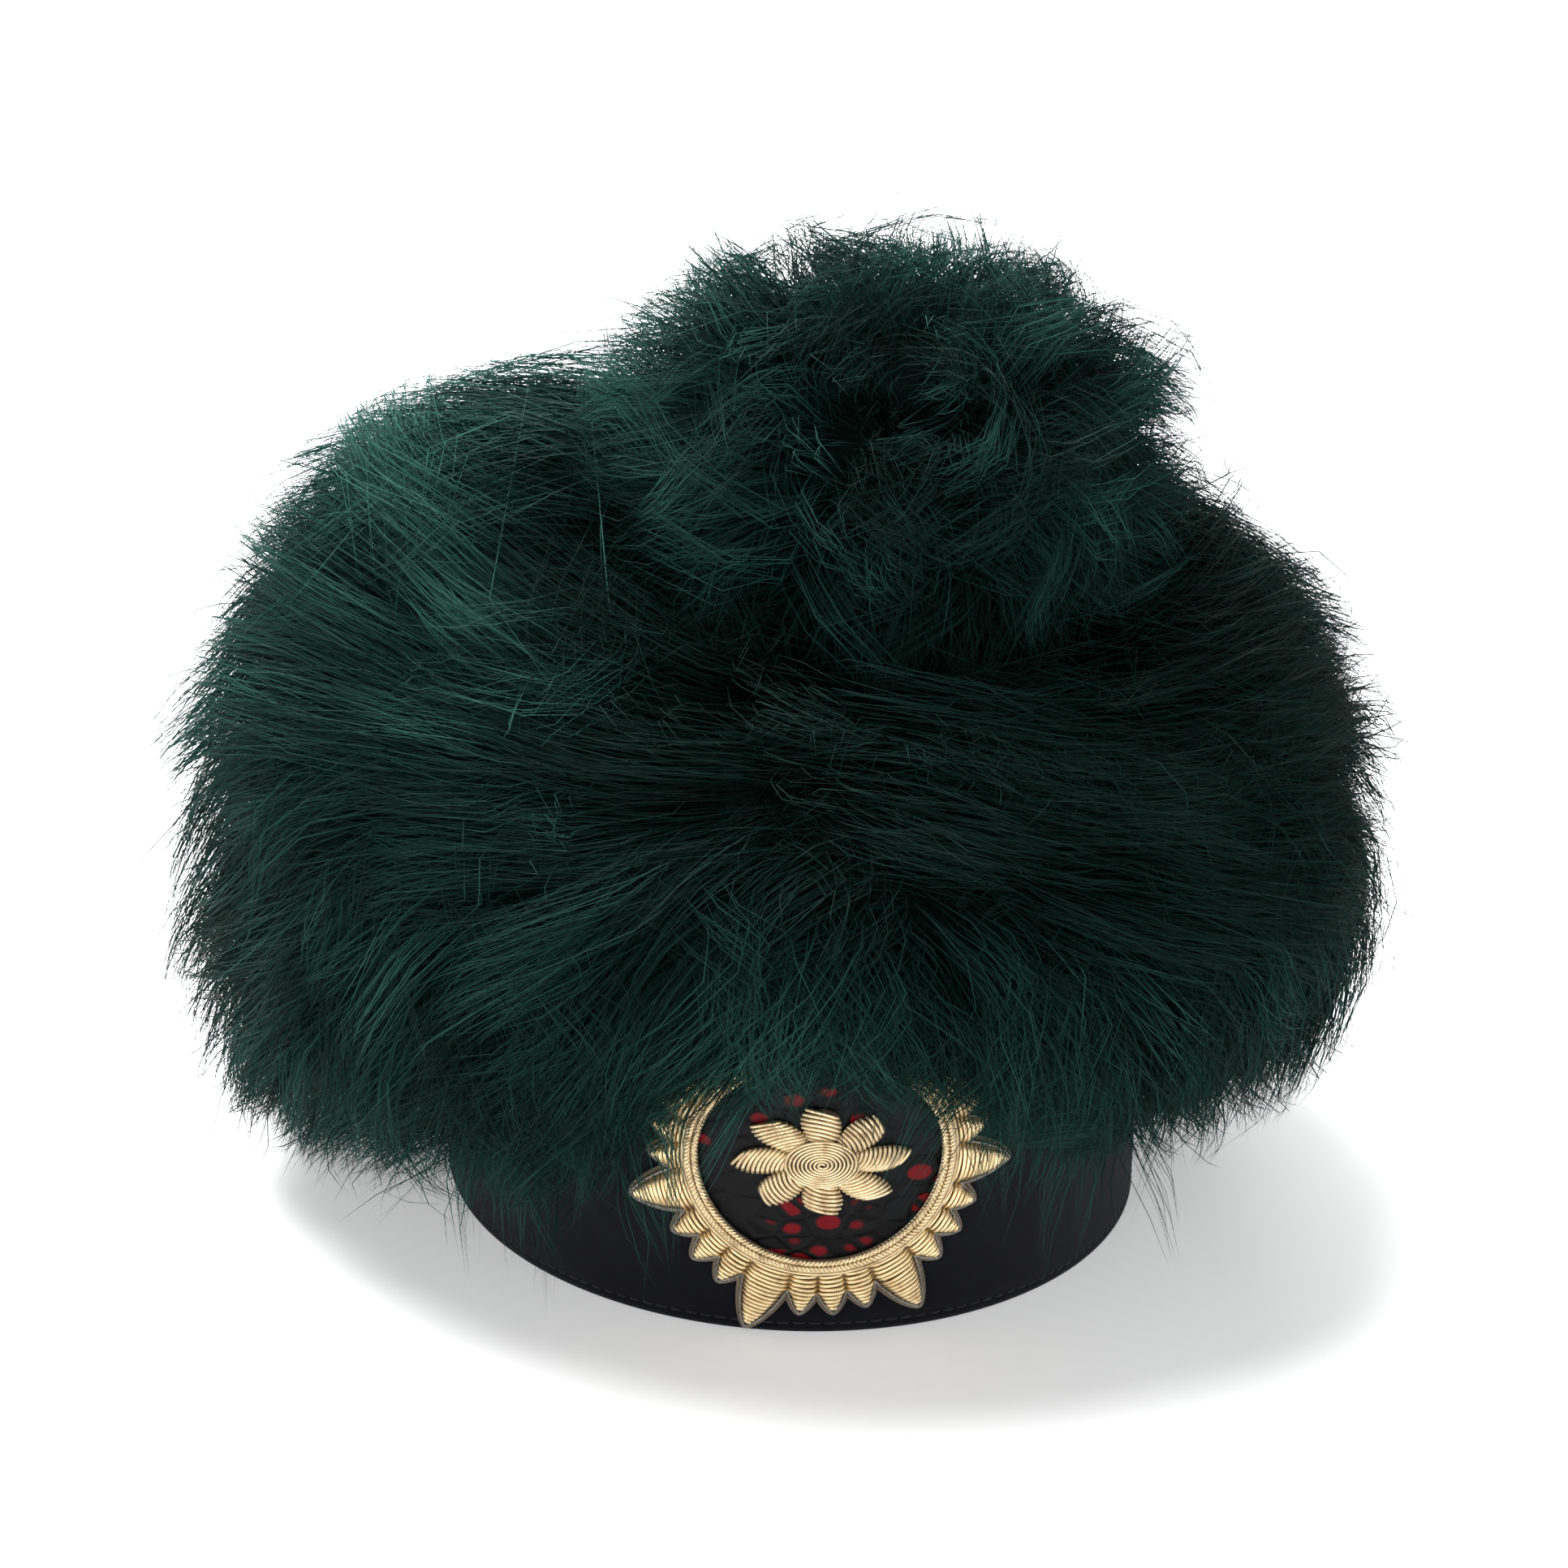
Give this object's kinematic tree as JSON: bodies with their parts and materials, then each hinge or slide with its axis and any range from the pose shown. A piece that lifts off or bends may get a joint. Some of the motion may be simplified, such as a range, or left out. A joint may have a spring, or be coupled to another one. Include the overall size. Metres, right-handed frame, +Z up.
{
  "type": "fur hat with pompom and embroidered crest on a cloth headband",
  "caption": "Long-haired green fur crown with a fur pompom on a navy cloth headband, with a gold wire crest in front; open below for a head.",
  "frame": {"origin": "centre of the foot of the hat's box, in the plane of the headband's lower rim", "axes": "+X to the viewer's right, +Y to the back of the hat, +Z up; the crest faces -Y"},
  "size_m": [0.3056, 0.2788, 0.2463],
  "materials": {
    "navy_wool": "matte wool cloth",
    "pelt_leather": "matte suede skin side",
    "green_fur": "long glossy dyed fur",
    "grey_felt": "matte felt edge",
    "brocade": "black brocade with red spots",
    "gold_wire": "satin pale gold bullion wire"
  },
  "bodies": {
    "root": {"headband": "navy_wool", "crown_skin": "pelt_leather", "fur_coat": "green_fur", "pompom": "green_fur", "crest_backing": "grey_felt", "crest_leaves": "gold_wire", "crest_ground": "brocade", "crest_rope": "gold_wire", "crest_rosette": "gold_wire"}
  },
  "joints": []
}
